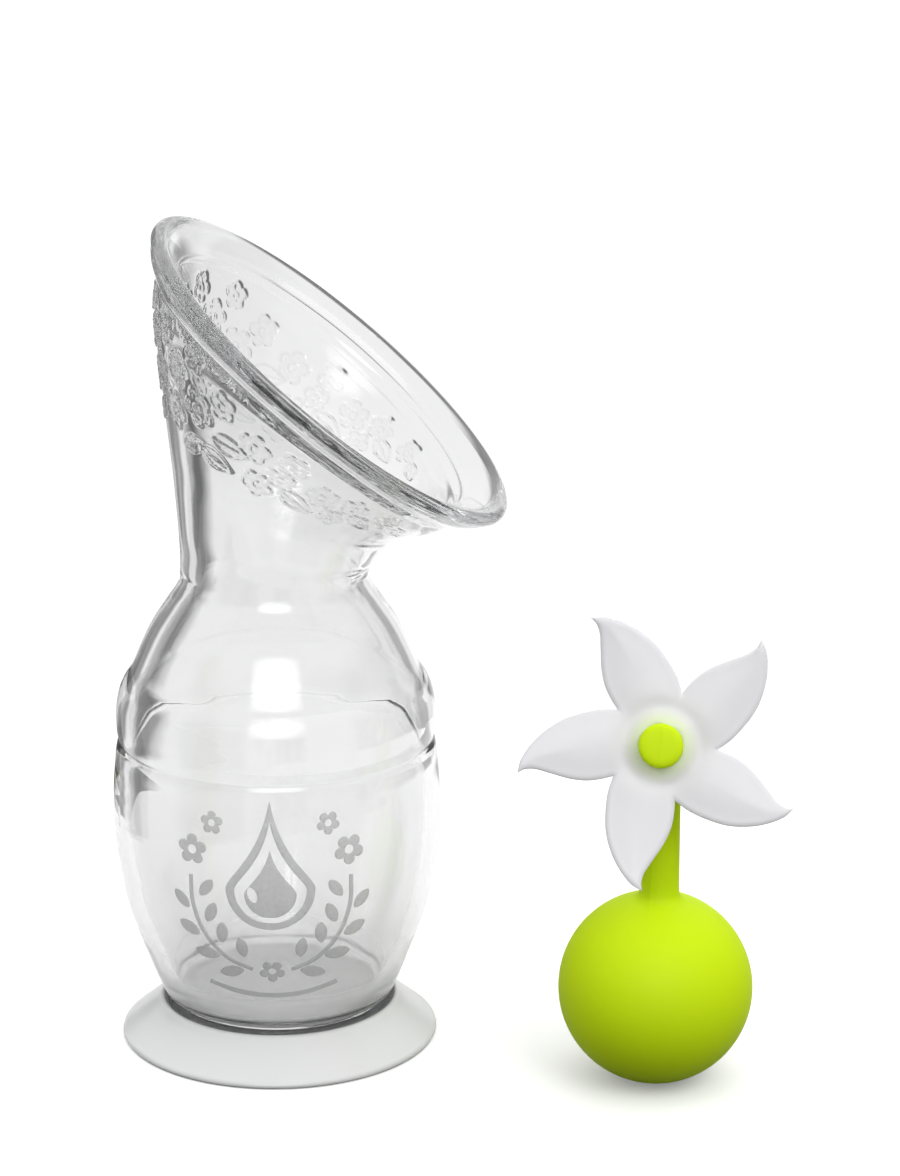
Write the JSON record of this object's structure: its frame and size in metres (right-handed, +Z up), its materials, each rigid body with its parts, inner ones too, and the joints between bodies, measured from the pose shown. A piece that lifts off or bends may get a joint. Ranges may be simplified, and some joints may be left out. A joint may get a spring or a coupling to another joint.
{
  "type": "breast pump",
  "caption": "One-piece silicone breast pump: a tilted flange on a squeeze bottle with a suction base, and a ball stopper on a stem with a flower head.",
  "frame": {"origin": "centre of the suction base, on the surface that the pump stands on", "axes": "+Z up along the bottle's axis, +X towards the side the flange opens to, and the stopper's flower faces -Y"},
  "size_m": [0.1318, 0.0856, 0.1621],
  "materials": {
    "clear_silicone": "clear, glossy food-grade silicone",
    "milky_silicone": "milky, satin silicone",
    "lime_silicone": "satin lime-green silicone",
    "white_silicone": "satin white silicone"
  },
  "bodies": {
    "pump": {"pump_body": "clear_silicone", "suction_base": "milky_silicone"},
    "stopper": {"stopper": "lime_silicone"},
    "flower": {"flower": "white_silicone"}
  },
  "joints": [
    {"name": "stopper_lift", "type": "slide", "parent": "pump", "child": "stopper", "axis": [0, 0, 1], "range_m": [0, 0.17]},
    {"name": "flower_spin", "type": "hinge", "parent": "stopper", "child": "flower", "pos_m": [0.0752, -0.02405, 0.06918], "axis": [0, -0.9455, 0.3256], "continuous": true}
  ]
}
